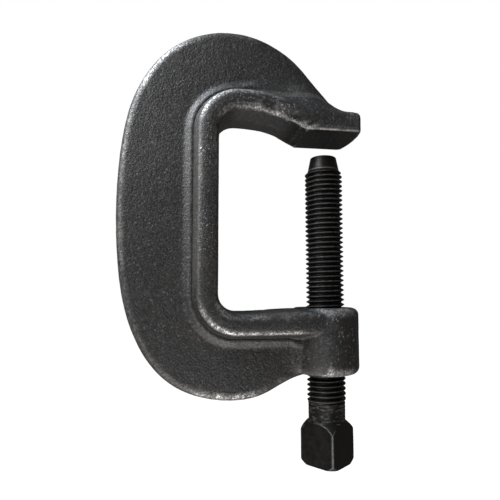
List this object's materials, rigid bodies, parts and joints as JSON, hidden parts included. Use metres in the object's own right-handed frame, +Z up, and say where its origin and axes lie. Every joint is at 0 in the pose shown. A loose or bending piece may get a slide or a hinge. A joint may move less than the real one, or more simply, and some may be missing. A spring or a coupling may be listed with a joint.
{
  "type": "c clamp",
  "caption": "Forged C clamp: a one-piece ribbed frame with an anvil at one jaw, and a square-headed screw with a tapered nose that closes the other jaw.",
  "frame": {"origin": "where the screw's axis meets the anvil face at the upper jaw", "axes": "+Z up the screw towards the anvil, +X from the spine to the screw, Y across the frame's depth"},
  "size_m": [0.1404, 0.038, 0.2501],
  "materials": {
    "forged_steel": "dark forging oxide, shot-blasted and pitted, worn bright on its edges",
    "screw_steel": "black oxide with an oil sheen, worn on the thread's crests and the head's corners"
  },
  "bodies": {
    "frame": {"frame": "forged_steel"},
    "screw_travel": {"screw_nose": "screw_steel"},
    "screw_turn": {"screw": "screw_steel"}
  },
  "joints": [
    {"name": "screw_travel", "type": "slide", "parent": "frame", "child": "screw_travel", "axis": [0, 0, 1], "range_m": [-0.09041, 0.01139]},
    {"name": "screw_turn", "type": "hinge", "parent": "screw_travel", "child": "screw_turn", "pos_m": [0, 0, 0], "axis": [0, 0, 1], "range_deg": [-11520, 1440]}
  ],
  "couplings": [
    {"joint": "screw_travel", "follows": "screw_turn", "m_per_rad": 0.00044917}
  ]
}
